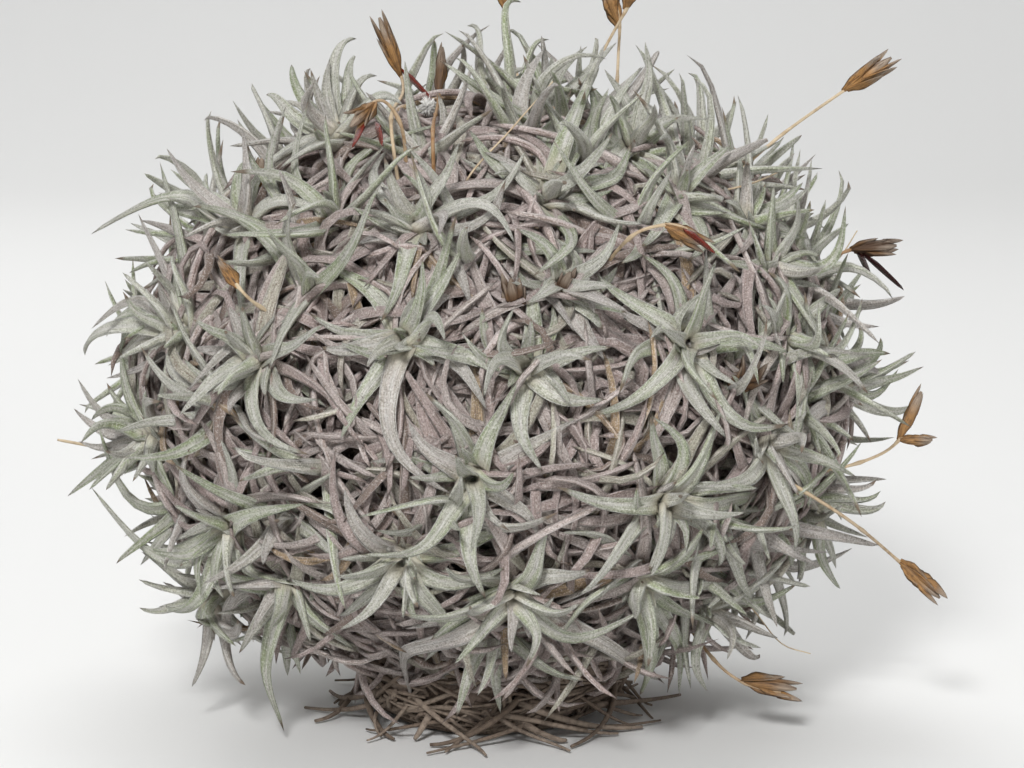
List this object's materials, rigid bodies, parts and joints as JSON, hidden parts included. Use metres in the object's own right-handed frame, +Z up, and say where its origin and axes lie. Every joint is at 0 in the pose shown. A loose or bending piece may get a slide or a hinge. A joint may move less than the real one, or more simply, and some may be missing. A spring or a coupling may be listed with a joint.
{
  "type": "air plant clump",
  "caption": "Globe-shaped clump of small silvery air-plant rosettes on a thatch of dry curled leaves, with dry seed stalks, resting on its own flat root mat.",
  "frame": {"origin": "centre of the flat underside of the root mat, on the surface that the clump rests on", "axes": "+Z up through the clump; -Y is the side that the picture shows; +X is that side's right"},
  "size_m": [0.1887, 0.1694, 0.1643],
  "materials": {
    "leaves": "scurfy, matt, silvery grey-green",
    "thatch": "dry, matt, mauve-grey",
    "roots": "fibrous, matt, dark brown",
    "dry_stalks": "dry, satin, straw brown"
  },
  "bodies": {
    "root": {"old_growth": "thatch", "root_mat": "roots", "rosette_01": "leaves", "rosette_02": "leaves", "rosette_03": "leaves", "rosette_04": "leaves", "rosette_05": "leaves", "rosette_06": "leaves", "rosette_07": "leaves", "rosette_08": "leaves", "rosette_09": "leaves", "rosette_10": "leaves", "rosette_11": "leaves", "rosette_12": "leaves", "rosette_13": "leaves", "rosette_14": "leaves", "rosette_15": "leaves", "rosette_16": "leaves", "rosette_17": "leaves", "rosette_18": "leaves", "rosette_19": "leaves", "rosette_20": "leaves", "rosette_21": "leaves", "rosette_22": "leaves", "rosette_23": "leaves", "rosette_24": "leaves", "rosette_25": "leaves", "rosette_26": "leaves", "rosette_27": "leaves", "rosette_28": "leaves", "rosette_29": "leaves", "rosette_30": "leaves", "rosette_31": "leaves", "rosette_32": "leaves", "rosette_33": "leaves", "rosette_34": "leaves", "rosette_35": "leaves", "rosette_36": "leaves", "rosette_37": "leaves", "rosette_38": "leaves", "rosette_39": "leaves", "rosette_40": "leaves", "rosette_41": "leaves", "rosette_42": "leaves", "rosette_43": "leaves", "rosette_44": "leaves", "seed_stalk_01": "dry_stalks", "seed_stalk_02": "dry_stalks", "seed_stalk_03": "dry_stalks", "seed_stalk_04": "dry_stalks", "seed_stalk_05": "dry_stalks", "seed_stalk_06": "dry_stalks", "seed_stalk_07": "dry_stalks", "seed_stalk_08": "dry_stalks", "seed_stalk_09": "dry_stalks", "seed_stalk_10": "dry_stalks", "seed_stalk_11": "dry_stalks", "seed_stalk_12": "dry_stalks", "seed_stalk_13": "dry_stalks", "seed_stalk_14": "dry_stalks"}
  },
  "joints": []
}
